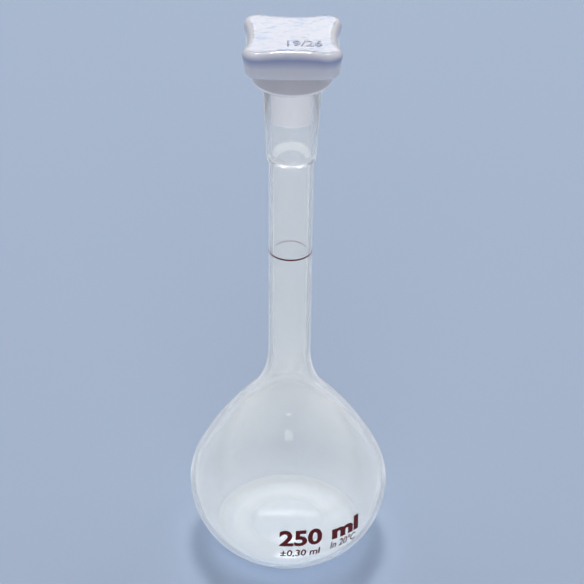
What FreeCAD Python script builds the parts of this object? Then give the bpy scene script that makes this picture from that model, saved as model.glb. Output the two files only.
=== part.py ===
import FreeCAD, Part
import math
import os

# A 250 ml plastic volumetric flask with a taper stopper.
# Millimetres, Z up. The origin is on the table, under the middle of the base.

# Bulb, outer side
bulb_diameter = 83.6      # at the widest line
belly_height = 28.6       # widest line above the table
foot_diameter = 54.6      # where the bowl would meet the table
foot_round = 2.0          # rounded corner at the table
foot_land = 2.5           # width of the flat ring that it stands on
punt_depth = 3.0          # hollow under the base
belly_radius = 25.7       # arc just above the widest line
belly_sweep = 25.8        # degrees that this arc turns
flank_radius = 136.5      # long slope of the shoulder
shoulder_radius = 33.3    # hollow curve into the neck

# Walls of the flask
bulb_wall = 2.0
base_wall = 2.2
heel_round = 5.0          # rounding inside, between floor and side
neck_wall = 2.0

# Neck and socket
neck_diameter = 17.3      # outer
step_height = 184.8       # shelf where the socket starts
step_width = 0.95         # how far the socket stands out from the neck
step_round = 0.6
lip_depth = 1.4           # how far the throat's lip stands into the neck's bore
lip_rise = 0.8            # lip above the shelf
lip_slope = 45.0          # degrees of the lip's two faces from level
socket_length = 37.2      # from the shelf to the mouth
mouth_bore = 18.8         # wide end of the taper
taper = 0.1               # change of diameter along the axis
rim_round = 0.6

# Fill line on the neck
mark_height = 143.5
mark_width = 0.65
ink_thickness = 0.05

# Stopper
plug_length = 19.8        # part of the plug that is in the socket
plug_wall = 1.6
plug_lead = 0.6           # bevel at the plug's lower end
taper_clearance = 0.1     # between plug and socket
skirt_clearance = 2.15    # between skirt and socket
skirt_wall = 1.5
skirt_overlap = 3.5       # how far the skirt reaches below the mouth
skirt_depth = 8.2         # skirt below the grip
grip_height = 10.8
grip_plate = 2.2          # top of the grip
grip_overhang = 2.25      # grip's foot beyond the skirt, at the corner lobes
grip_foot_bulge = 0.45    # how far each side curves out at the bottom
grip_foot_corner = 6.0
grip_foot_round = 0.8
grip_flare = 1.5          # corner lobes at the top beyond those at the foot
grip_top_hollow = 2.2     # how far each side curves in at the top
grip_top_corner = 5.9
grip_top_round = 3.2

same_place = 1e-4         # edges nearer than this to a place are at it
most_round = 0.45         # a rim's two roundings each take less than half of its wall

bulb_radius = bulb_diameter / 2
neck_radius = neck_diameter / 2
neck_bore = neck_radius - neck_wall
mouth_height = step_height + socket_length
skirt_bottom = mouth_height - skirt_overlap
grip_bottom = skirt_bottom + skirt_depth
grip_top = grip_bottom + grip_height
ceiling = grip_top - grip_plate
socket_foot = neck_radius + step_width
socket_mouth = socket_foot + socket_length * taper / 2
skirt_bore = socket_mouth + skirt_clearance
skirt_radius = skirt_bore + skirt_wall
grip_foot_width = 2 * (skirt_radius + grip_overhang)
grip_top_width = grip_foot_width + 2 * grip_flare


def on_circle(centre, radius, angle):
    return (centre[0] + radius * math.cos(angle), centre[1] + radius * math.sin(angle))


def circles_meet(first, first_radius, second, second_radius):
    # Of the two meeting points, the one further from the axis
    span = math.dist(first, second)
    along = (span ** 2 + first_radius ** 2 - second_radius ** 2) / (2 * span)
    across = math.sqrt(first_radius ** 2 - along ** 2)
    heading = math.atan2(second[1] - first[1], second[0] - first[0])
    middle = on_circle(first, along, heading)
    sides = [on_circle(middle, across, heading + turn) for turn in (math.pi / 2, -math.pi / 2)]
    return max(sides)


def angle_from(centre, place):
    return math.atan2(place[1] - centre[1], place[0] - centre[0])


def section_point(place):
    return FreeCAD.Vector(place[0], 0, place[1])


def line(start, end):
    return Part.makeLine(section_point(start), section_point(end))


def arc(centre, radius, start, end):
    places = [on_circle(centre, radius, angle) for angle in (start, (start + end) / 2, end)]
    return Part.Arc(*[section_point(place) for place in places]).toShape()


def spin(edges):
    face = Part.Face(Part.Wire(edges))
    return face.revolve(FreeCAD.Vector(0, 0, 0), FreeCAD.Vector(0, 0, 1), 360)


def tube(outer, inner, bottom, top):
    return spin([
        line((inner, bottom), (outer, bottom)),
        line((outer, bottom), (outer, top)),
        line((outer, top), (inner, top)),
        line((inner, top), (inner, bottom)),
    ])


def bore_radius(height):
    return mouth_bore / 2 - (mouth_height - height) * taper / 2


def ring_edges(shape, radius, height):
    # Round edges of one radius at one height
    found = []
    for edge in shape.Edges:
        middle = edge.BoundBox.Center
        level = edge.BoundBox.ZLength < same_place and abs(middle.z - height) < same_place
        if level and abs(edge.BoundBox.XLength / 2 - radius) < same_place:
            found.append(edge)
    return found


# Arcs from the widest line up to the neck, set in from the outer side
def bulb_side(inset, neck_line):
    centre = (bulb_radius - belly_radius, belly_height)
    sweep = math.radians(belly_sweep)
    flank_centre = on_circle(centre, belly_radius - flank_radius, sweep)
    flank = flank_radius - inset
    shoulder = shoulder_radius + inset
    out = neck_line + shoulder - flank_centre[0]
    up = math.sqrt((flank + shoulder) ** 2 - out ** 2)
    shoulder_centre = (flank_centre[0] + out, flank_centre[1] + up)
    turn = math.atan2(up, out)
    edges = [
        arc(centre, belly_radius - inset, 0, sweep),
        arc(flank_centre, flank, sweep, turn),
        arc(shoulder_centre, shoulder, turn + math.pi, math.pi),
    ]
    return edges, (neck_line, shoulder_centre[1])


# The base: outer foot with its hollow, and the floor inside
def base_edges():
    drop = bulb_radius - foot_diameter / 2
    bowl = (drop ** 2 + belly_height ** 2) / (2 * drop)
    centre = (bulb_radius - bowl, belly_height)
    foot_reach = math.sqrt((bowl - foot_round) ** 2 - (belly_height - foot_round) ** 2)
    foot_centre = (centre[0] + foot_reach, foot_round)
    foot_turn = angle_from(centre, foot_centre)
    land_edge = foot_centre[0] - foot_land
    punt = (land_edge ** 2 + punt_depth ** 2) / (2 * punt_depth)
    punt_centre = (0, punt_depth - punt)
    outer = [
        arc(punt_centre, punt, math.pi / 2, angle_from(punt_centre, (land_edge, 0))),
        line((land_edge, 0), (foot_centre[0], 0)),
        arc(foot_centre, foot_round, -math.pi / 2, foot_turn),
        arc(centre, bowl, foot_turn, 0),
    ]
    bowl_in = bowl - bulb_wall
    floor = punt + base_wall
    heel = circles_meet(centre, bowl_in - heel_round, punt_centre, floor + heel_round)
    heel_out = angle_from(centre, heel)
    heel_in = angle_from(punt_centre, heel)
    inner = [
        arc(centre, bowl_in, 0, heel_out),
        arc(heel, heel_round, heel_out, heel_in - math.pi),
        arc(punt_centre, floor, heel_in, math.pi / 2),
    ]
    axis = line((0, punt_depth + base_wall), (0, punt_depth))
    return outer, inner, axis


def flask_body():
    foot, floor, axis = base_edges()
    outside, neck_start = bulb_side(0, neck_radius)
    inside, bore_start = bulb_side(bulb_wall, neck_bore)
    slope = math.tan(math.radians(lip_slope))
    lip = neck_bore - lip_depth
    lip_height = step_height + lip_rise
    # Where the lip's upper face meets the tapered bore
    seat_rise = (bore_radius(lip_height) - lip) * slope / (1 - slope * taper / 2)
    seat_height = lip_height + seat_rise
    mouth = bore_radius(mouth_height)
    corners = [
        neck_start,
        (neck_radius, step_height),
        (socket_foot, step_height),
        (socket_mouth, mouth_height),
        (mouth, mouth_height),
        (bore_radius(seat_height), seat_height),
        (lip, lip_height),
        (neck_bore, lip_height - lip_depth * slope),
        bore_start,
    ]
    neck = [line(start, end) for start, end in zip(corners, corners[1:])]
    body = spin(foot + outside + neck + inside[::-1] + floor + [axis])
    body = body.makeFillet(step_round, ring_edges(body, socket_foot, step_height))
    rim = ring_edges(body, socket_mouth, mouth_height) + ring_edges(body, mouth, mouth_height)
    return body.makeFillet(min(rim_round, most_round * (socket_mouth - mouth)), rim)


def graduation_ring():
    bottom = mark_height - mark_width / 2
    return tube(neck_radius + ink_thickness, neck_radius, bottom, bottom + mark_width)


# Square outline with rounded corners. A positive hollow curves the four sides in.
def grip_outline(width, hollow, corner, height):
    reach = width / 2 - corner
    waist = width / 2 - hollow
    gap = waist - reach
    side = (reach ** 2 + gap ** 2 - corner ** 2) / (2 * hollow)
    joint = (reach - reach * corner / (side + corner), reach + (gap + side) * corner / (side + corner))
    lobe = reach + corner / math.sqrt(2)
    edges = []
    for quarter in range(4):
        turn = FreeCAD.Rotation(FreeCAD.Vector(0, 0, 1), 90 * quarter)
        stations = [(joint[0], joint[1]), (0, waist), (-joint[0], joint[1])]
        stations += [(-lobe, lobe), (-joint[1], joint[0])]
        points = [turn.multVec(FreeCAD.Vector(x, y, height)) for x, y in stations]
        edges.append(Part.Arc(*points[:3]).toShape())
        edges.append(Part.Arc(*points[2:]).toShape())
    return Part.Wire(edges)


def level_edges(shape, height):
    found = []
    for edge in shape.Edges:
        span = edge.BoundBox
        if max(abs(span.ZMin - height), abs(span.ZMax - height)) < same_place:
            found.append(edge)
    return found


def grip():
    foot = grip_outline(grip_foot_width, -grip_foot_bulge, grip_foot_corner, grip_bottom)
    top = grip_outline(grip_top_width, grip_top_hollow, grip_top_corner, grip_top)
    block = Part.makeLoft([foot, top], True, True)
    block = block.makeFillet(grip_top_round, level_edges(block, grip_top))
    return block.makeFillet(grip_foot_round, level_edges(block, grip_bottom))


def plug_radius(height):
    return bore_radius(height) - taper_clearance


def plug():
    foot = mouth_height - plug_length
    lead_top = foot + plug_lead
    corners = [
        (plug_radius(foot) - plug_wall, foot),
        (plug_radius(foot) - plug_lead, foot),
        (plug_radius(lead_top), lead_top),
        (plug_radius(ceiling), ceiling),
        (plug_radius(ceiling) - plug_wall, ceiling),
    ]
    return spin([line(start, end) for start, end in zip(corners, corners[1:] + corners[:1])])


def stopper():
    skirt = tube(skirt_radius, skirt_bore, skirt_bottom, ceiling)
    cavity = Part.makeCylinder(skirt_bore, ceiling - skirt_bottom, FreeCAD.Vector(0, 0, skirt_bottom))
    return grip().cut(cavity).fuse([skirt, plug()]).removeSplitter()


pieces = {
    "flask_body": flask_body(),
    "graduation_ring": graduation_ring(),
    "stopper": stopper(),
}

os.makedirs("parts", exist_ok=True)
for name, shape in pieces.items():
    shape.exportStep("parts/" + name + ".step")
    print(name, "valid", shape.isValid(), "solids", len(shape.Solids), "volume", round(shape.Volume, 1))
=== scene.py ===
import math

import bpy
from mathutils import Matrix, Quaternion, Vector


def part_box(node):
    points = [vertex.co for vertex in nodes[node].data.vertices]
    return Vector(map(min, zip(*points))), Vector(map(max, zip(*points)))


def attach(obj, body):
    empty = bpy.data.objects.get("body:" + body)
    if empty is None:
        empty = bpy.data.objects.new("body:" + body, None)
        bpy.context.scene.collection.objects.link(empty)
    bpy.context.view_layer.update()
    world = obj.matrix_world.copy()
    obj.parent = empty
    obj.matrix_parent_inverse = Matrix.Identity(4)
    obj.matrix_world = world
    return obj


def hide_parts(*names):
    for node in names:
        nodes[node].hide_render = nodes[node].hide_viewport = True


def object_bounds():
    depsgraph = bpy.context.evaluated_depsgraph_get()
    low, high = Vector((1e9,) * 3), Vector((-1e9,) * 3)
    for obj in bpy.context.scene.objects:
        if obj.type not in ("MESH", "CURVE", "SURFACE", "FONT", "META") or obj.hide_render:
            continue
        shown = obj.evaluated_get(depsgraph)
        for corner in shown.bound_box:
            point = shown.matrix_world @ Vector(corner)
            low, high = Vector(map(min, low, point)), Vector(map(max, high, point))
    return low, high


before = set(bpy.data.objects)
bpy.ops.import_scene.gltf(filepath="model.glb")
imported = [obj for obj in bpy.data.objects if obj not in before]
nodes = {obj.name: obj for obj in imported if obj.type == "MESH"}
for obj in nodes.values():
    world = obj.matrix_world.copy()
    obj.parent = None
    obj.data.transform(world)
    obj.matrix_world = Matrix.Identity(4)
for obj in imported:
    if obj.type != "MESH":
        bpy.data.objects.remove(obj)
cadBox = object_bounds()
mm = 0.001
upAxis = (0, 0, 1)
downAxis = (0, 0, -1)  # spin turns clockwise about its axis
sideAxis = (0, 1, 0)  # a section is drawn in the XZ plane and its arcs turn about this axis
drawing = {
    "touch": 0.01,      # mm, points nearer than this to a place are at it
    "weld": 0.002,      # mm, points nearer than this become one
    "fewestSteps": 3,   # in an arc
    "widestStep": 9,    # degrees
    "cornerSteps": 5,   # in the rounding of a section's corner
    "sharpEdge": 40,    # degrees, flatter edges are shaded smooth
}


# sections and outlines, drawn with the vertex tools

def onCircle(centre, radius, angle):
    return Vector((centre[0] + radius * math.cos(angle), centre[1] + radius * math.sin(angle)))


def angleFrom(centre, place):
    return math.atan2(place[1] - centre[1], place[0] - centre[0])


def inSection(place):
    return Vector((place[0] * mm, 0, place[1] * mm))


def startVertex(place):
    bpy.ops.mesh.select_all(action="DESELECT")
    bpy.ops.mesh.primitive_plane_add(size=mm)
    bpy.ops.mesh.merge(type="CENTER")
    bpy.ops.transform.translate(value=place)


def startPiece(name):
    bpy.ops.object.select_all(action="DESELECT")
    bpy.ops.mesh.primitive_plane_add(size=mm)
    piece = bpy.context.object
    piece.name = piece.data.name = name
    bpy.ops.object.mode_set(mode="EDIT")
    bpy.ops.mesh.delete(type="VERT")
    return piece


def lineTo(pen, place):
    bpy.ops.mesh.extrude_vertices_move(TRANSFORM_OT_translate={"value": inSection(place - pen)})
    return place


def arcAbout(pen, centre, turn, spacing):
    radius = (pen - centre).length
    byLength = math.ceil(radius * abs(turn) / spacing)
    byAngle = math.ceil(abs(turn) / math.radians(drawing["widestStep"]))
    steps = max(drawing["fewestSteps"], byLength, byAngle)
    bpy.ops.mesh.spin(steps=steps, angle=turn, center=inSection(centre), axis=sideAxis)
    return onCircle(centre, radius, angleFrom(centre, pen) + turn)


def drawSection(start, strokes, spacing):
    startVertex(inSection(start))
    pen = start
    for stroke in strokes:
        pen = arcAbout(pen, *stroke, spacing) if isinstance(stroke, tuple) else lineTo(pen, stroke)


def selectVertices(piece, chosen):
    bpy.ops.mesh.select_mode(type="VERT")
    bpy.ops.mesh.select_all(action="DESELECT")
    bpy.ops.object.mode_set(mode="OBJECT")
    for vertex in piece.data.vertices:
        vertex.select = chosen(vertex.co)
    bpy.ops.object.mode_set(mode="EDIT")


def selectEdges(piece, chosen):
    bpy.ops.mesh.select_mode(type="EDGE")
    bpy.ops.mesh.select_all(action="DESELECT")
    bpy.ops.object.mode_set(mode="OBJECT")
    points = piece.data.vertices
    for edge in piece.data.edges:
        edge.select = all(chosen(points[end].co) for end in edge.vertices)
    bpy.ops.object.mode_set(mode="EDIT")


def near(place):
    return lambda point: (point - place).length < drawing["touch"] * mm


def atHeight(height):
    return lambda point: abs(point.z - height * mm) < drawing["touch"] * mm


def ringAt(radius, height):
    level = atHeight(height)
    return lambda point: level(point) and abs(point.xy.length - radius * mm) < drawing["touch"] * mm


def roundCorner(piece, place, radius):
    selectVertices(piece, near(inSection(place)))
    bpy.ops.mesh.bevel(offset=radius * mm, segments=drawing["cornerSteps"], affect="VERTICES")


def roundEdges(piece, chosen, radius, steps):
    selectEdges(piece, chosen)
    bpy.ops.mesh.bevel(offset=radius * mm, segments=steps, affect="EDGES")


def lathe(steps):
    bpy.ops.mesh.select_all(action="SELECT")
    bpy.ops.mesh.spin(steps=steps, angle=math.tau, center=(0, 0, 0), axis=upAxis)


def weldAll():
    bpy.ops.mesh.select_all(action="SELECT")
    bpy.ops.mesh.remove_doubles(threshold=drawing["weld"] * mm)


def finishMesh(piece, sharpEdge):
    weldAll()
    bpy.ops.mesh.normals_make_consistent(inside=False)
    bpy.ops.object.mode_set(mode="OBJECT")
    bpy.ops.object.shade_smooth_by_angle(angle=math.radians(sharpEdge))
    print(piece.name, len(piece.data.polygons), "faces")


# materials

def linearColour(code):
    # from an sRGB hex value
    channels = [int(code[place:place + 2], 16) / 255 for place in (1, 3, 5)]
    return [c / 12.92 if c <= 0.04045 else ((c + 0.055) / 1.055) ** 2.4 for c in channels] + [1]


def addNode(tree, kind, settings=None, values=None, links=None):
    node = tree.nodes.new(kind)
    for name, setting in (settings or {}).items():
        setattr(node, name, setting)
    for name, value in (values or {}).items():
        node.inputs[name].default_value = value
    for name, source in (links or {}).items():
        tree.links.new(source, node.inputs[name])
    return node


def setRamp(node, stops):
    elements = node.color_ramp.elements
    while len(elements) < len(stops):
        elements.new(1)
    for element, (place, colour) in zip(elements, stops):
        element.position = place
        element.color = colour


def newMaterial(name):
    material = bpy.data.materials.new(name)
    material.use_nodes = True
    material.node_tree.nodes.clear()
    return material, material.node_tree


def letLampLightOn(tree, shader, toFloor, toInside):
    # lamp light goes on through a thin wall:
    # a part of it to the floor, more to what shows through the wall
    path = addNode(tree, "ShaderNodeLightPath").outputs
    shadow = path["Is Shadow Ray"]
    below, within = [addNode(tree, "ShaderNodeBsdfTransparent", values={"Color": linearColour(code)})
                     for code in (toFloor, toInside)]
    seenThrough = addNode(tree, "ShaderNodeMath", {"operation": "MULTIPLY", "use_clamp": True},
                          links={0: shadow, 1: path["Transmission Depth"]})
    passing = addNode(tree, "ShaderNodeMixShader",
                      links={0: seenThrough.outputs["Value"], 1: below.outputs["BSDF"],
                             2: within.outputs["BSDF"]})
    wall = addNode(tree, "ShaderNodeMixShader",
                   links={0: shadow, 1: shader.outputs["BSDF"], 2: passing.outputs["Shader"]})
    addNode(tree, "ShaderNodeOutputMaterial", links={"Surface": wall.outputs["Shader"]})


def perMetre(sizeInMm):
    return 1 / (sizeInMm * mm)


def noise(tree, place, size, detail, twist=0):
    node = addNode(tree, "ShaderNodeTexNoise",
                   values={"Scale": perMetre(size), "Detail": detail, "Distortion": twist},
                   links={"Vector": place})
    return node.outputs["Fac"]


def mapped(tree, value, span, result):
    node = addNode(tree, "ShaderNodeMapRange",
                   values={"From Min": span[0], "From Max": span[1],
                           "To Min": result[0], "To Max": result[1]},
                   links={"Value": value})
    return node.outputs["Result"]


def mixColours(tree, factor, first, second):
    # a Mix node's sockets for colours, which share their names with its others
    node = addNode(tree, "ShaderNodeMix", {"data_type": "RGBA"}, links={"Factor": factor})
    for socket, colour in ((node.inputs[6], first), (node.inputs[7], second)):
        if isinstance(colour, list):
            socket.default_value = colour
        else:
            tree.links.new(colour, socket)
    return node.outputs[2]


def rampUp(tree, height, stops):
    # stops are given by their height in mm
    low, high = stops[0][0], stops[-1][0]
    share = mapped(tree, height, (low * mm, high * mm), (0, 1))
    ramp = addNode(tree, "ShaderNodeValToRGB", links={"Fac": share})
    setRamp(ramp, [((up - low) / (high - low), colour) for up, colour in stops])
    return ramp.outputs["Color"]


def grey(value):
    return [value] * 3 + [1]


# natural polypropylene from a polished mould: a hazy, waxy wall that can be seen through
hazyWall = {
    # height in mm, and the colour there: the base is painted greyer, a painted shade on its brightly
    # lit upward face
    "coloursWithPaintedLight": ((0, "#E8E8E6"), (3.4, "#E8E8E6"), (6, "#F8F8F6"), (222, "#F8F8F6")),
    # height in mm, and the share of light that goes straight through a face
    "clearUp": (
        (0, 0.7), (3.4, 0.7), (4.8, 0.88), (14, 0.91), (60, 0.91), (80, 0.82), (95, 0.82), (108, 0.86),
        (186, 0.86), (191, 0.9), (222, 0.9),
    ),
    "lip": (6.3, 186.8),      # mm, radius and height of the thick lip inside, which is cloudier
    "lipReach": (1.3, 2.2),   # mm from it, where the cloud starts to thin and where it ends
    "lipLoss": 0.4,
    "streak": 1.6,            # mm between the faint lines that run up the wall
    "streakSpan": (0.35, 0.65),  # part of the noise that counts
    "streakLoss": 0.025,
    "slantBlend": 0.4,        # how early a slant counts
    "slantLoss": 0.1,         # share that is lost where the wall is seen at a slant
    "rimLoss": 0.45,          # and at the very rim
    "rimFrom": 0.6,           # slant where the rim starts
    "gloss": (0.04, 0.09),    # roughness, smoothest and dullest
    "ior": 1.49,
    "swirl": 14,              # mm, size of the flow marks from moulding
    "swirlSpan": (0.3, 0.7),  # part of the noise that counts
    "wave": 9,                # mm, slow waviness of the wall
    "waveHeight": 0.003,      # mm
    # lamp light that each face lets on, to the floor and to what is inside
    "passes": ("#C4C9D0", "#F4F5F6"),
    "bloom": (0.6, 0.35),     # white haze along the rims: weight and roughness of the sheen
}


def naturalPolypropylene():
    look = hazyWall
    material, tree = newMaterial("naturalPolypropylene")
    place = addNode(tree, "ShaderNodeTexCoord").outputs["Object"]
    up = addNode(tree, "ShaderNodeSeparateXYZ", links={"Vector": place}).outputs["Z"]
    bump = addNode(tree, "ShaderNodeBump", values={"Strength": 1, "Distance": look["waveHeight"] * mm},
                   links={"Height": noise(tree, place, look["wave"], detail=1)})
    colourWithPaintedLight = rampUp(tree, up, [(height, linearColour(code)) for height, code in look["coloursWithPaintedLight"]])
    clear = rampUp(tree, up, [(height, grey(share)) for height, share in look["clearUp"]])
    rough = mapped(tree, noise(tree, place, look["swirl"], detail=3), look["swirlSpan"], look["gloss"])

    # what is lost at a slant, at the rim, at the lip inside and along the faint lines
    slant = addNode(tree, "ShaderNodeLayerWeight",
                    values={"Blend": look["slantBlend"]}).outputs["Facing"]
    flat = addNode(tree, "ShaderNodeVectorMath", {"operation": "MULTIPLY"}, {1: (1, 1, 0)},
                   {0: place}).outputs["Vector"]
    radius = addNode(tree, "ShaderNodeVectorMath", {"operation": "LENGTH"}, links={0: flat})
    section = addNode(tree, "ShaderNodeCombineXYZ", links={"X": radius.outputs["Value"], "Y": up})
    lipPlace = [size * mm for size in look["lip"]] + [0]
    fromLip = addNode(tree, "ShaderNodeVectorMath", {"operation": "DISTANCE"}, {1: lipPlace},
                      {0: section.outputs["Vector"]}).outputs["Value"]
    lipReach = [size * mm for size in look["lipReach"]]
    lines = noise(tree, flat, look["streak"], detail=1)
    for loss in (
        mapped(tree, slant, (0, 1), (0, look["slantLoss"])),
        mapped(tree, slant, (look["rimFrom"], 1), (0, look["rimLoss"])),
        mapped(tree, fromLip, lipReach, (look["lipLoss"], 0)),
        mapped(tree, lines, look["streakSpan"], (0, look["streakLoss"])),
    ):
        clear = addNode(tree, "ShaderNodeMath", {"operation": "SUBTRACT", "use_clamp": True},
                        links={0: clear, 1: loss}).outputs["Value"]

    sheen, sheenRoughness = look["bloom"]
    plastic = addNode(tree, "ShaderNodeBsdfPrincipled",
                      values={"IOR": look["ior"], "Sheen Weight": sheen,
                              "Sheen Roughness": sheenRoughness},
                      links={"Base Color": colourWithPaintedLight, "Roughness": rough,
                             "Normal": bump.outputs["Normal"], "Transmission Weight": clear})
    letLampLightOn(tree, plastic, *look["passes"])
    return material


# thicker polypropylene of the stopper: milky, with a faint lilac cast and a soft polish
milkyMoulding = {
    "coloursWithPaintedLight": (               # height in mm, and the colour there, with painted light and shade
        (202, "#FAFBFC"), (202.8, "#FAFBFC"), (203.4, "#E0DFE0"),  # plug painted paler than the grip as painted light, with a painted highlight on its foot edge
        (219.2, "#E4E3E6"), (219.8, "#B2B0B4"), (226.5, "#B2B0B4"),  # skirt painted darker as painted shade under the grip, with a painted highlight on its foot rim
        (227.5, "#C4C5CD"), (231, "#C0C2CC"), (234.6, "#8C96B4"), (236.4, "#C3C5CE"),  # grip, with a painted shade band below its top rounding, a painted reflection of dark surroundings
        (237.32, "#D8D9DE"), (237.38, "#8F9ABC"), (237.5, "#8F9ABC"),  # its top painted lighter as a painted highlight; the raised numbers painted darker as painted shade
    ),
    "clear": 0.15,            # share of light that goes straight through
    "depth": (6.0, 5.9, 6.5),  # mm that red, green and blue light wanders inside
    "gloss": (0.07, 0.12),
    "ior": 1.49,
    "swirl": 9,               # mm
    "swirlSpan": (0.3, 0.7),  # part of the noise that counts
    "bloom": (0.35, 0.4),     # pale edges: weight and roughness of the sheen
    "scuff": 2.4,             # mm, marks and smears across the flat top
    "scuffStretch": (0.5, 1, 1),
    "scuffTwist": 0.9,
    "scuffSpan": (0.48, 0.66),  # part of the noise that counts
    "scuffFade": (0.3, 0.05),  # mm below the flat top, where scuffs start and are at their fullest
    "scuffDepth": 0.006,      # mm
    # the scuff marks are real; their blue colour is a painted reflection
    "scuffPaintedReflection": "#9DAECE",
    "passes": ("#C8CAD4", "#EDEDF3"),
}


def milkyPolypropylene():
    look = milkyMoulding
    material, tree = newMaterial("milkyPolypropylene")
    place = addNode(tree, "ShaderNodeTexCoord").outputs["Object"]
    up = addNode(tree, "ShaderNodeSeparateXYZ", links={"Vector": place}).outputs["Z"]
    colourWithPaintedLight = rampUp(tree, up, [(height, linearColour(code)) for height, code in look["coloursWithPaintedLight"]])
    rough = mapped(tree, noise(tree, place, look["swirl"], detail=3), look["swirlSpan"], look["gloss"])

    # scuffs on the flat top: real marks in the bump, painted blue as a painted reflection
    flatTop = stopper["top"] - stopper["numberRise"]
    onTop = mapped(tree, up, [(flatTop - below) * mm for below in look["scuffFade"]], (0, 1))
    across = addNode(tree, "ShaderNodeMapping", values={"Scale": look["scuffStretch"]},
                     links={"Vector": place}).outputs["Vector"]
    scuff = noise(tree, across, look["scuff"], detail=3, twist=look["scuffTwist"])
    bump = addNode(tree, "ShaderNodeBump", values={"Distance": look["scuffDepth"] * mm},
                   links={"Height": scuff, "Strength": onTop})
    marks = mapped(tree, scuff, look["scuffSpan"], (0, 1))
    smear = addNode(tree, "ShaderNodeMath", {"operation": "MULTIPLY"}, links={0: marks, 1: onTop})
    colour = mixColours(tree, smear.outputs["Value"], colourWithPaintedLight, linearColour(look["scuffPaintedReflection"]))

    sheen, sheenRoughness = look["bloom"]
    plastic = addNode(tree, "ShaderNodeBsdfPrincipled",
                      values={"IOR": look["ior"], "Transmission Weight": look["clear"],
                              "Subsurface Weight": 1, "Subsurface Radius": look["depth"],
                              "Subsurface Scale": mm, "Sheen Weight": sheen,
                              "Sheen Roughness": sheenRoughness},
                      links={"Base Color": colour, "Roughness": rough,
                             "Normal": bump.outputs["Normal"]})
    letLampLightOn(tree, plastic, *look["passes"])
    return material


# screen-printed epoxy ink: dark maroon, satin, a little uneven in cover
maroonInk = {
    "colours": ("#45070C", "#641116"),
    "mottle": 0.8,  # mm, screen mesh marks drawn coarser than they are
    "roughness": 0.45,
    "specular": 0.3,
}


def printInk():
    look = maroonInk
    material, tree = newMaterial("maroonScreenInk")
    place = addNode(tree, "ShaderNodeTexCoord").outputs["Object"]
    mottle = noise(tree, place, look["mottle"], detail=2)
    colour = mixColours(tree, mottle, *[linearColour(code) for code in look["colours"]])
    ink = addNode(tree, "ShaderNodeBsdfPrincipled",
                  values={"Roughness": look["roughness"], "Specular IOR Level": look["specular"]},
                  links={"Base Color": colour})
    addNode(tree, "ShaderNodeOutputMaterial", links={"Surface": ink.outputs["BSDF"]})
    return material


# the flask: one closed wall, drawn as a section and turned round the axis

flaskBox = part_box("flask_body")
flask = {  # mm and degrees
    "bulbRadius": flaskBox[1].x / mm,
    "mouthHeight": flaskBox[1].z / mm,
    "bellyHeight": 28.6,
    "footRadius": 27.3,     # where the bowl would meet the table
    "footRound": 2.0,
    "footLand": 2.5,
    "puntDepth": 3.0,       # hollow under the base
    "bellyRadius": 25.7,
    "bellySweep": 25.8,
    "flankRadius": 136.5,
    "shoulderRadius": 33.3,
    "bulbWall": 2.0,
    "baseWall": 2.2,
    "heelRound": 5.0,
    "neckRadius": 8.65,
    "neckWall": 2.0,
    "stepHeight": 184.8,
    "stepWidth": 0.95,
    "lipDepth": 1.4,
    "lipRise": 0.8,
    "mouthBore": 9.4,       # radius
    "taper": 0.1,           # change of diameter along the axis
    "edgeRound": 0.6,
    "lipRound": 0.5,
    "spacing": 1.3,         # between rings on the curves
    "segments": 192,
}


def bulbSide(inset, neckLine):
    size = flask
    centre = Vector((size["bulbRadius"] - size["bellyRadius"], size["bellyHeight"]))
    sweep = math.radians(size["bellySweep"])
    flankCentre = onCircle(centre, size["bellyRadius"] - size["flankRadius"], sweep)
    out = neckLine + size["shoulderRadius"] + inset - flankCentre.x
    up = math.sqrt((size["flankRadius"] + size["shoulderRadius"]) ** 2 - out ** 2)
    turn = math.atan2(up, out)
    shoulderCentre = flankCentre + Vector((out, up))
    return [(centre, sweep), (flankCentre, turn - sweep), (shoulderCentre, -turn)]


def reversedArcs(arcs):
    return [(centre, -turn) for centre, turn in reversed(arcs)]


def circlesMeet(first, firstRadius, second, secondRadius):
    span = (second - first).length
    along = (span ** 2 + firstRadius ** 2 - secondRadius ** 2) / (2 * span)
    across = math.sqrt(firstRadius ** 2 - along ** 2)
    heading = angleFrom(first, second)
    middle = onCircle(first, along, heading)
    sides = [onCircle(middle, across, heading + turn) for turn in (math.pi / 2, -math.pi / 2)]
    return max(sides, key=lambda place: place.x)


def bowlCircle():
    size = flask
    drop = size["bulbRadius"] - size["footRadius"]
    radius = (drop ** 2 + size["bellyHeight"] ** 2) / (2 * drop)
    return Vector((size["bulbRadius"] - radius, size["bellyHeight"])), radius


def flaskBase():
    size = flask
    bowlCentre, bowl = bowlCircle()
    footRise = size["bellyHeight"] - size["footRound"]
    footX = bowlCentre.x + math.sqrt((bowl - size["footRound"]) ** 2 - footRise ** 2)
    footCentre = Vector((footX, size["footRound"]))
    footTurn = angleFrom(bowlCentre, footCentre)
    landEdge = Vector((footX - size["footLand"], 0))
    punt = (landEdge.x ** 2 + size["puntDepth"] ** 2) / (2 * size["puntDepth"])
    puntCentre = Vector((0, size["puntDepth"] - punt))
    outer = [
        (puntCentre, angleFrom(puntCentre, landEdge) - math.pi / 2),
        Vector((footX, 0)),
        (footCentre, footTurn + math.pi / 2),
        (bowlCentre, -footTurn),
    ]
    heelReach = bowl - size["bulbWall"] - size["heelRound"]
    heel = circlesMeet(bowlCentre, heelReach, puntCentre, punt + size["baseWall"] + size["heelRound"])
    heelOut = angleFrom(bowlCentre, heel)
    heelIn = angleFrom(puntCentre, heel)
    inner = [
        (bowlCentre, heelOut),
        (heel, heelIn - math.pi - heelOut),
        (puntCentre, math.pi / 2 - heelIn),
    ]
    return outer, inner


def boreAt(height):
    return flask["mouthBore"] - (flask["mouthHeight"] - height) * flask["taper"] / 2


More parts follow.
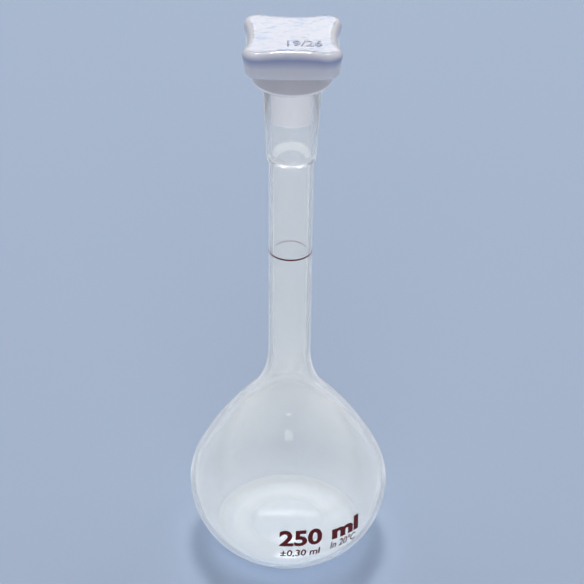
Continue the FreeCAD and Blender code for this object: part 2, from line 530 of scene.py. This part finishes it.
def neckAndSocket():
    size = flask
    bore = size["neckRadius"] - size["neckWall"]
    foot = size["neckRadius"] + size["stepWidth"]
    mouth = foot + (size["mouthHeight"] - size["stepHeight"]) * size["taper"] / 2
    lip = Vector((bore - size["lipDepth"], size["stepHeight"] + size["lipRise"]))
    # the lip's two faces slope at 45 degrees
    seat = lip.y + (boreAt(lip.y) - lip.x) / (1 - size["taper"] / 2)
    return {
        "shelf": Vector((size["neckRadius"], size["stepHeight"])),
        "socketFoot": Vector((foot, size["stepHeight"])),
        "rimOutside": Vector((mouth, size["mouthHeight"])),
        "rimInside": Vector((size["mouthBore"], size["mouthHeight"])),
        "seat": Vector((boreAt(seat), seat)),
        "lip": lip,
        "underLip": Vector((bore, lip.y - size["lipDepth"])),
    }


def makeFlask():
    size = flask
    outerBase, innerBase = flaskBase()
    outside = bulbSide(0, size["neckRadius"])
    inside = bulbSide(size["bulbWall"], size["neckRadius"] - size["neckWall"])
    corners = neckAndSocket()
    boreStart = Vector((corners["underLip"].x, inside[2][0].y))
    start = Vector((0, size["puntDepth"]))
    piece = startPiece("flaskBody")
    strokes = outerBase + outside + list(corners.values()) + [boreStart]
    drawSection(start, strokes + reversedArcs(inside) + innerBase, size["spacing"])
    for name in ("socketFoot", "rimOutside", "rimInside"):
        roundCorner(piece, corners[name], size["edgeRound"])
    for name in ("shelf", "seat", "lip", "underLip"):
        roundCorner(piece, corners[name], size["lipRound"])
    lathe(size["segments"])
    finishMesh(piece, drawing["sharpEdge"])
    return piece


# the stopper: a square grip on a round skirt, with the hollow plug inside

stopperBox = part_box("stopper")
stopper = {  # mm
    "top": stopperBox[1].z / mm,
    "plugFoot": stopperBox[0].z / mm,
    "numberRise": 0.2,
    "gripHeight": 10.8,
    "plate": 2.2,         # thickness of the grip's top
    "footWidth": 34.72,
    "footHollow": -0.45,  # the sides curve out at the foot
    "footCorner": 6.0,
    "footRound": 0.8,
    "topWidth": 37.72,
    "topHollow": 2.2,     # and in at the top
    "topCorner": 5.9,
    "topRound": 3.2,
    "topRoundSteps": 10,
    "topBorder": 0.3,     # keeps the flat top flat in its shading
    "skirtRadius": 15.11,
    "skirtBore": 13.61,
    "skirtDepth": 8.2,
    "skirtRound": 0.45,
    "plugGap": 0.1,
    "plugWall": 1.6,
    "plugLead": 0.6,
    "skirtFillet": 0.8,
    "skirtSteps": 4,      # in each of its roundings
    "footSteps": 5,
    "gripRows": 2,
    "sideSteps": 16,
    "cornerSteps": 12,
}


def drawOutline(width, hollow, corner, height):
    # four side arcs and four corner arcs that run into each other
    size = stopper
    reach = width / 2 - corner
    gap = corner - hollow
    side = (reach ** 2 + gap ** 2 - corner ** 2) / (2 * hollow)
    sideCentre = Vector((0, reach + gap + side))
    joint = Vector((reach, reach)) + Vector((-reach, gap + side)) * corner / (side + corner)
    sideTurn = -2 * math.atan(joint.x / (sideCentre.y - joint.y))
    startVertex((joint.x * mm, joint.y * mm, height * mm))
    for quarter in range(4):
        turned = Matrix.Rotation(math.radians(90 * quarter), 2)
        for centre, turn, steps in (
            (turned @ sideCentre, sideTurn, size["sideSteps"]),
            (turned @ Vector((-reach, reach)), math.pi / 2 - sideTurn, size["cornerSteps"]),
        ):
            bpy.ops.mesh.spin(steps=steps, angle=turn, center=centre.to_3d() * mm, axis=downAxis)


def extrudeRing(pen, place):
    bpy.ops.mesh.extrude_edges_move(TRANSFORM_OT_translate={"value": (0, 0, (place.y - pen.y) * mm)})
    grow = place.x / pen.x
    bpy.ops.transform.resize(value=(grow, grow, 1), center_override=(0, 0, 0))
    return place


def plugAt(height):
    return boreAt(height) - stopper["plugGap"]


def makeStopper():
    size = stopper
    gripTop = size["top"] - size["numberRise"]
    gripFoot = size["top"] - size["gripHeight"]
    ceiling = size["top"] - size["plate"]
    skirtFoot = gripFoot - size["skirtDepth"]
    plugFoot = size["plugFoot"]
    piece = startPiece("stopperMoulding")
    drawOutline(size["footWidth"], size["footHollow"], size["footCorner"], gripFoot)
    drawOutline(size["topWidth"], size["topHollow"], size["topCorner"], gripTop)
    weldAll()
    bpy.ops.mesh.bridge_edge_loops(number_cuts=size["gripRows"])

    # the grip's underside, drawn in to the skirt's circle
    atFoot = atHeight(gripFoot)
    selectEdges(piece, atFoot)
    bpy.ops.mesh.extrude_edges_move()
    bpy.ops.object.mode_set(mode="OBJECT")
    for vertex in piece.data.vertices:
        if vertex.select:
            vertex.co.xy = vertex.co.xy.normalized() * size["skirtRadius"] * mm
    bpy.ops.object.mode_set(mode="EDIT")

    # down the skirt, up inside it, then down and up the plug
    skirtRing = ringAt(size["skirtRadius"], gripFoot)
    selectEdges(piece, skirtRing)
    pen = Vector((size["skirtRadius"], gripFoot))
    for place in (
        (size["skirtRadius"], skirtFoot),
        (size["skirtBore"], skirtFoot),
        (size["skirtBore"], ceiling),
        (plugAt(ceiling), ceiling),
        (plugAt(plugFoot + size["plugLead"]), plugFoot + size["plugLead"]),
        (plugAt(plugFoot) - size["plugLead"], plugFoot),
        (plugAt(plugFoot) - size["plugWall"], plugFoot),
        (plugAt(ceiling) - size["plugWall"], ceiling),
    ):
        pen = extrudeRing(pen, Vector(place))
    bpy.ops.mesh.edge_face_add()

    # the flat top, then the roundings
    onTop = atHeight(gripTop)
    selectEdges(piece, onTop)
    bpy.ops.mesh.edge_face_add()
    roundEdges(piece, onTop, size["topRound"], size["topRoundSteps"])
    selectEdges(piece, onTop)
    bpy.ops.mesh.select_mode(type="FACE")
    bpy.ops.mesh.inset(thickness=size["topBorder"] * mm)
    roundEdges(piece, lambda point: atFoot(point) and not skirtRing(point),
               size["footRound"], size["footSteps"])
    for radius, height, rounding in (
        (size["skirtRadius"], gripFoot, size["skirtFillet"]),
        (size["skirtRadius"], skirtFoot, size["skirtRound"]),
        (size["skirtBore"], skirtFoot, size["skirtRound"]),
    ):
        roundEdges(piece, ringAt(radius, height), rounding, size["skirtSteps"])
    bpy.ops.mesh.select_mode(type="FACE")
    finishMesh(piece, drawing["sharpEdge"])
    return piece


# print, made from text and laid on the bulb

lettering = {
    "curveSteps": 6,   # in each curve of a letter
    "sharpEdge": 30,   # degrees
}


def textMesh(name, words, bold, slant):
    bpy.ops.object.select_all(action="DESELECT")
    bpy.ops.object.text_add()
    piece = bpy.context.object
    piece.name = name
    piece.data.body = words
    piece.data.size = 1
    piece.data.offset = bold
    piece.data.shear = slant
    piece.data.resolution_u = lettering["curveSteps"]
    return piece


def fitText(piece, width, height, thickness):
    # leaves the piece in edit mode
    bpy.ops.object.convert(target="MESH")
    points = [vertex.co for vertex in piece.data.vertices]
    low = Vector([min(point[axis] for point in points) for axis in range(3)])
    high = Vector([max(point[axis] for point in points) for axis in range(3)])
    grow = [size * mm / span for size, span in zip((width, height, thickness), high - low)]
    bpy.ops.object.mode_set(mode="EDIT")
    bpy.ops.mesh.select_all(action="SELECT")
    bpy.ops.transform.translate(value=-low)
    bpy.ops.transform.resize(value=grow, center_override=(0, 0, 0))


def cutEvery(spacing, width, height):
    # cuts across, so that the letters can follow the bulb
    for span, direction in ((width, (1, 0, 0)), (height, (0, 1, 0))):
        for step in range(1, math.ceil(span / spacing)):
            bpy.ops.mesh.select_all(action="SELECT")
            bpy.ops.mesh.bisect(plane_co=Vector(direction) * step * spacing * mm, plane_no=direction)


def bulbRadiusAt(height):
    size = flask
    bowlCentre, bowl = bowlCircle()
    if height < size["bellyHeight"]:
        return bowlCentre.x + math.sqrt(bowl ** 2 - (height - size["bellyHeight"]) ** 2)
    centre = size["bulbRadius"] - size["bellyRadius"]
    return centre + math.sqrt(size["bellyRadius"] ** 2 - (height - size["bellyHeight"]) ** 2)


# right of the front, above the table, width and height in mm
capacityLines = [
    {"words": "250", "right": -3.4, "up": 24.7, "width": 18.0, "height": 8.3,
     "bold": 0.034, "slant": 0},
    {"words": "ml", "right": 19.1, "up": 25.0, "width": 13.4, "height": 7.7,
     "bold": 0.045, "slant": 0},
    {"words": "±0,30 ml", "right": -3.0, "up": 17.6, "width": 16.9, "height": 4.9,
     "bold": 0.018, "slant": 0.1},
    {"words": "In 20°C", "right": 18.4, "up": 19.3, "width": 12.9, "height": 4.7,
     "bold": 0.01, "slant": 0.2},
]
print("capacity print:", len(capacityLines), "lines")
inkLayer = {"lift": 0.01, "thickness": 0.05, "cuts": 0.9}  # mm


def makePrint():
    lines = []
    for line in capacityLines:
        piece = textMesh("capacityPrint", line["words"], line["bold"], line["slant"])
        piece.data.extrude = inkLayer["thickness"]
        fitText(piece, line["width"], line["height"], inkLayer["thickness"])
        cutEvery(inkLayer["cuts"], line["width"], line["height"])
        bpy.ops.object.mode_set(mode="OBJECT")
        for vertex in piece.data.vertices:
            across, up, out = vertex.co / mm
            height = line["up"] + up
            radius = bulbRadiusAt(height)
            azimuth = (line["right"] + across) / radius
            radius += inkLayer["lift"] + out
            vertex.co = Vector((radius * math.sin(azimuth), -radius * math.cos(azimuth), height)) * mm
        lines.append(piece)
    for piece in lines:
        piece.select_set(True)
    bpy.context.view_layer.objects.active = lines[0]
    bpy.ops.object.join()
    piece = lines[0]
    piece.name = piece.data.name = "capacityPrint"
    bpy.ops.object.mode_set(mode="EDIT")
    finishMesh(piece, lettering["sharpEdge"])
    return piece


topNumbers = {  # mm
    "words": "19/26",
    "left": -2.0,
    "front": -10.7,
    "width": 13.0,
    "height": 4.8,
    "sink": 0.2,      # how deep they reach into the top
    "stroke": 0.035,  # half width of the rounded strokes, as a share of the letter size
    "strokeSteps": 2,
}


def makeTopNumbers():
    size = topNumbers
    piece = textMesh("jointSizeNumbers", size["words"], -size["stroke"] / 2, 0)
    piece.data.bevel_depth = size["stroke"]
    piece.data.bevel_resolution = size["strokeSteps"]
    depth = stopper["numberRise"] + size["sink"]
    fitText(piece, size["width"], size["height"], depth)
    place = Vector((size["left"], size["front"], stopper["top"] - depth)) * mm
    bpy.ops.transform.translate(value=place)
    finishMesh(piece, lettering["sharpEdge"])
    return piece


wallPlastic = naturalPolypropylene()
stopperPlastic = milkyPolypropylene()
ink = printInk()
for piece, body, slot, material, replaced in (
    (makeFlask(), "flask", "flask_plastic", wallPlastic, "flask_body"),
    (makeStopper(), "stopper", "stopper_plastic", stopperPlastic, "stopper"),
    (makeTopNumbers(), "stopper", "stopper_plastic", stopperPlastic, None),
    (makePrint(), "flask", "print_ink", ink, None),
):
    piece.data.materials.clear()
    piece.data.materials.append(material)
    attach(piece, body)
    if replaced:
        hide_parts(replaced)
nodes["graduation_ring"].material_slots[0].material = ink
print("pieces placed")


# floor, light and camera

studio = {
    "floor": "#A3B2C9",
    "floorWidth": 3.0,   # m
    "dome": "#F0EFED",
    "domePeak": 0.83,
    # sine of the elevation, and the share of the peak there
    "domeRise": ((0, 0.35), (0.2, 1), (0.5, 0.7), (0.9, 0.12)),
}
lamps = {  # place and size in m, power in W; a fill lights the haze but isn't mirrored
    "frontFill": {"place": (0, -3.6, 0.72), "size": (2.6, 1.3), "power": 50, "fill": True},
    "leftFill": {"place": (-3.1, 1.8, 0.72), "size": (2.6, 1.3), "power": 22, "fill": True},
    "rightFill": {"place": (3.1, 1.8, 0.72), "size": (2.6, 1.3), "power": 22, "fill": True},
    "backBox": {"place": (0, 1.2, 0.85), "size": (0.6, 0.16), "power": 0.9},
    "frontBox": {"place": (0, -1.0, 0.93), "size": (0.3, 0.09), "power": 0.13},
    "leftSpot": {"place": (-0.75, 0.37, 1.3), "size": (0.1, 0.1), "power": 0.6},
    "rightSpot": {"place": (0.75, 0.37, 1.3), "size": (0.1, 0.1), "power": 0.6},
    "strip": {"place": (0, 1.1, 3.2), "size": (0.62, 0.22), "power": 60},
}


def makeFloor():
    bpy.ops.object.select_all(action="DESELECT")
    bpy.ops.mesh.primitive_plane_add(size=studio["floorWidth"])
    floor = bpy.context.object
    floor.name = "floor"
    material, tree = newMaterial("paleMattFloor")
    paint = addNode(tree, "ShaderNodeBsdfDiffuse", values={"Color": linearColour(studio["floor"])})
    addNode(tree, "ShaderNodeOutputMaterial", links={"Surface": paint.outputs["BSDF"]})
    floor.data.materials.append(material)


def makeLight():
    world = bpy.data.worlds.new("studioDome")
    world.use_nodes = True
    tree = world.node_tree
    tree.nodes.clear()
    heading = addNode(tree, "ShaderNodeTexCoord").outputs["Generated"]
    rise = addNode(tree, "ShaderNodeSeparateXYZ", links={"Vector": heading}).outputs["Z"]
    share = addNode(tree, "ShaderNodeValToRGB", links={"Fac": rise})
    share.color_ramp.interpolation = "EASE"
    setRamp(share, [(place, grey(value)) for place, value in studio["domeRise"]])
    strength = addNode(tree, "ShaderNodeMath", {"operation": "MULTIPLY"}, {1: studio["domePeak"]},
                       {0: share.outputs["Color"]})
    dome = addNode(tree, "ShaderNodeBackground", values={"Color": linearColour(studio["dome"])},
                   links={"Strength": strength.outputs["Value"]})
    backdrop = addNode(tree, "ShaderNodeBackground", values={"Color": linearColour(studio["floor"])})
    path = addNode(tree, "ShaderNodeLightPath").outputs
    # the backdrop shows to the camera, also through the wall
    seen = addNode(tree, "ShaderNodeMath", {"operation": "MAXIMUM"},
                   links={0: path["Is Camera Ray"], 1: path["Is Transmission Ray"]})
    view = addNode(tree, "ShaderNodeMixShader",
                   links={0: seen.outputs["Value"], 1: dome.outputs["Background"],
                          2: backdrop.outputs["Background"]})
    addNode(tree, "ShaderNodeOutputWorld", links={"Surface": view.outputs["Shader"]})
    bpy.context.scene.world = world
    aim = (cadBox[0] + cadBox[1]) / 2
    for name, lamp in lamps.items():
        bpy.ops.object.light_add(type="AREA", location=lamp["place"])
        light = bpy.context.object
        light.name = name
        light.data.shape = "RECTANGLE"
        light.data.size, light.data.size_y = lamp["size"]
        light.data.energy = lamp["power"]
        light.rotation_euler = (aim - light.location).to_track_quat("-Z", "Y").to_euler()
        light.visible_camera = False
        light.visible_glossy = light.visible_transmission = not lamp.get("fill")


photoView = {
    "place": (0.8, -641.8, 545.1),  # mm
    "aim": (0.8, 0, 123.0),
    "roll": 0.6245,                 # degrees
    "focalPixels": 1909.2,
    "imagePixels": 584,
    "sensor": 36,                   # mm
}


def makeCamera():
    shot = photoView
    place = Vector(shot["place"]) * mm
    towards = Vector(shot["aim"]) * mm - place
    bpy.ops.object.camera_add(location=place)
    camera = bpy.context.object
    camera.rotation_mode = "QUATERNION"
    roll = Quaternion(upAxis, math.radians(shot["roll"]))
    camera.rotation_quaternion = towards.to_track_quat("-Z", "Y") @ roll
    camera.data.sensor_width = shot["sensor"]
    camera.data.lens = shot["sensor"] * shot["focalPixels"] / shot["imagePixels"]
    bpy.context.scene.camera = camera


makeFloor()
makeLight()
makeCamera()
bpy.context.scene.view_settings.view_transform = "Standard"
print("scene ready")
